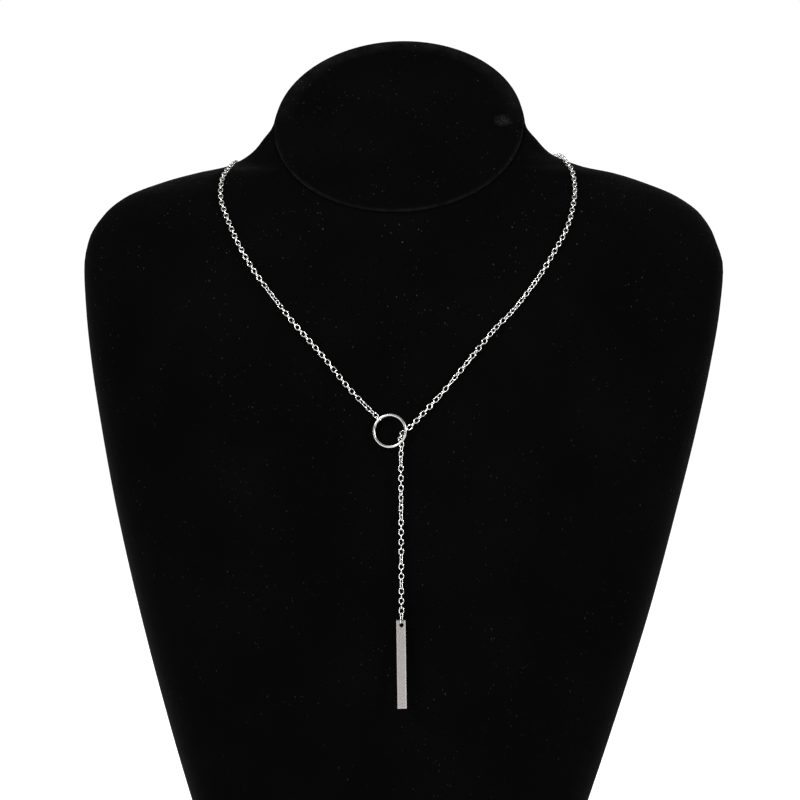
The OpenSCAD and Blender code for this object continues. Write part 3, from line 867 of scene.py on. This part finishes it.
# %% Ring
HOOP_STEPS, WIRE_STEPS = 120, 24
hoop = 2 * np.pi * np.arange(HOOP_STEPS) / HOOP_STEPS
round_wire = 2 * np.pi * np.arange(WIRE_STEPS) / WIRE_STEPS
spoke = np.cos(hoop)[:, None] * ring_across + np.sin(hoop)[:, None] * ring_up
axle = np.cross(ring_across, ring_up)
points = RING_AT + RING_R * spoke[:, None] + RING_WIRE / 2 * (
    np.cos(round_wire)[:, None] * spoke[:, None] + np.sin(round_wire)[:, None] * axle)
faces = []
for i in range(HOOP_STEPS):
    near, far = i * WIRE_STEPS, (i + 1) % HOOP_STEPS * WIRE_STEPS
    for j in range(WIRE_STEPS):
        k = (j + 1) % WIRE_STEPS
        faces.append((near + j, far + j, far + k, near + k))
mesh = bpy.data.meshes.new("round_ring")
mesh.from_pydata((points.reshape(-1, 3) * MM).tolist(), [], faces)
mesh.shade_smooth()
mesh.materials.append(ring_silver)
ring = bpy.data.objects.new("round_ring", mesh)
bpy.context.scene.collection.objects.link(ring)
show("ring, mm and faces", (RING_OD, len(faces)))

# %% [markdown]
# ## The bar
#
# The bar is a flat strip with a narrow bevel round its front and a drilled hole. Its solid has
# the right shape but razor-sharp edges, which no filed and polished metal has. So its mesh is
# copied, its loose triangles are joined up, and a very small bevel breaks every edge. The ground
# faces stay flat-shaded, and only the broken edges and the hole's wall are shaded smooth.

# %% Bar
EDGE_BREAK, WELD, SMALL_FACE = 0.07, 0.002, 0.8       # mm, mm, square mm
SAME_PLANE, CRISP = math.radians(1), math.radians(20)
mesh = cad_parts["bar"].data.copy()
mesh.name = "flat_bar"
work = bmesh.new()
work.from_mesh(mesh)
bmesh.ops.remove_doubles(work, verts=work.verts, dist=WELD * MM)
bmesh.ops.dissolve_limit(work, angle_limit=SAME_PLANE, verts=work.verts, edges=work.edges)
show("bar faces before its edges are broken", len(work.faces))
crisp = [edge for edge in work.edges if edge.calc_face_angle() > CRISP]
broken = bmesh.ops.bevel(work, geom=crisp, offset=EDGE_BREAK * MM, offset_type="OFFSET", segments=3,
                         profile=0.5, affect="EDGES", clamp_overlap=True)
for face in work.faces:
    face.smooth = face.calc_area() < SMALL_FACE * MM ** 2
for face in broken["faces"]:
    face.smooth = True
work.to_mesh(mesh)
work.free()
mesh.materials.clear()
mesh.materials.append(satin)
bar = bpy.data.objects.new("flat_bar", mesh)
bpy.context.scene.collection.objects.link(bar)
show("bar faces", len(mesh.polygons))

# %% [markdown]
# ## Who rides on what
#
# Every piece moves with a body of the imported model. Only the bar swings. The bust, the chain and
# the ring stay together.

# %% Bodies
for piece, slot, body, nodes in [
    (velvet_form, "velvet", "display", ["neck_form"]),
    (panel, "velvet", "display", ["neck_panel"]),
    (chain, "silver", "display", ["front_chain", "back_chain"]),
    (ring, "silver", "display", ["ring"]),
    (bar, "silver", "bar", ["bar"]),
]:
    show(piece.name, [finish.name for finish in piece.data.materials])
    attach(piece, body)
    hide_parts(*nodes)

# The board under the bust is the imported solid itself, with the same velvet
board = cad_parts["base_board"]
board.data.materials.clear()
board.data.materials.append(velvet)

# %% [markdown]
# ## Floor, light and camera
#
# A product photo on white: a pale floor that fades into a white surround, two large soft lights,
# and a long lens at the height of the chest, so that the bust shows with almost no perspective.
# The surround that the silver mirrors is dark in front of the bust and paler round it, as a room
# is, and only the camera sees it as plain white.

# %% Floor
FLOOR_R, FLOOR_STEPS, FLOOR_GLOW = 6, 96, 0.4          # metres, corners, strength
floor_mesh = bpy.data.meshes.new("floor")
work = bmesh.new()
bmesh.ops.create_circle(work, cap_ends=True, segments=FLOOR_STEPS, radius=FLOOR_R)
work.to_mesh(floor_mesh)
work.free()
floor = bpy.data.objects.new("floor", floor_mesh)
bpy.context.scene.collection.objects.link(floor)
acrylic, tree, shader = new_material("backlit_white_acrylic")
shader.inputs["Base Color"].default_value = linear("#fafafa")
shader.inputs["Roughness"].default_value = 0.9
shader.inputs["Emission Color"].default_value = linear("#ffffff")
shader.inputs["Emission Strength"].default_value = FLOOR_GLOW
floor_mesh.materials.append(acrylic)
floor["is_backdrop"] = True

# %% White surround
IN_FRONT, AROUND, SEEN = 0.08, 0.7, 1.05               # strengths of the surround
world = bpy.data.worlds.new("white studio")
bpy.context.scene.world = world
world.use_nodes = True
studio = world.node_tree
studio.nodes.clear()
towards = add(studio, "ShaderNodeTexCoord").outputs["Generated"]
towards = add(studio, "ShaderNodeSeparateXYZ", {0: towards}).outputs["Y"]
graded = add(studio, "ShaderNodeMapRange", {
    "Value": towards, "From Min": -1.0, "From Max": -0.25, "To Min": IN_FRONT, "To Max": AROUND,
}, interpolation_type="SMOOTHSTEP")
by_camera = add(studio, "ShaderNodeLightPath").outputs["Is Camera Ray"]
strength = add(studio, "ShaderNodeMix", {"Factor": by_camera, 2: graded, 3: SEEN}, data_type="FLOAT")
sky = add(studio, "ShaderNodeBackground", {"Color": linear("#ffffff"), "Strength": strength})
add(studio, "ShaderNodeOutputWorld", {"Surface": sky})
show("nodes in the surround", len(studio.nodes))

# %% Two soft lights
LIGHT_SIZE, CHEST = 0.8, np.array([0, 0, 0.2])         # metres
for name, place, watts in [
    ("key", (-1.3, -1.5, 1.5), 68),
    ("fill", (1.6, -1.2, 0.9), 41),
]:
    data = bpy.data.lights.new(name, "AREA")
    data.shape, data.size, data.energy = "SQUARE", LIGHT_SIZE, watts
    light = bpy.data.objects.new(name, data)
    light.location = place
    across, deep, up = CHEST - place
    pitch = math.pi / 2 + math.atan2(up, math.hypot(across, deep))
    light.rotation_euler = (pitch, 0, math.atan2(-across, deep))
    bpy.context.scene.collection.objects.link(light)
    show(f"{name} light, watts", watts)

# %% Camera
# It stands 1.5 m in front of the bar, where its picture is 350 mm wide
CAMERA_Y, CAMERA_Z, FRAME_W, FRAME_Y = -1567, 212, 350, -67
camera_data = bpy.data.cameras.new("camera")
camera_data.angle = 2 * math.atan(FRAME_W / 2 / (FRAME_Y - CAMERA_Y))
camera = bpy.data.objects.new("camera", camera_data)
camera.location = (0, CAMERA_Y * MM, CAMERA_Z * MM)
camera.rotation_euler = (math.pi / 2, 0, 0)
bpy.context.scene.collection.objects.link(camera)
bpy.context.scene.camera = camera
bpy.context.scene.view_settings.view_transform = "Standard"
show("camera's angle, degrees", round(math.degrees(camera_data.angle), 2))

# %% Sizes, and the end
low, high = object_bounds()
show("box of the looks, mm", [[round(c / MM, 1) for c in corner] for corner in (low, high)])
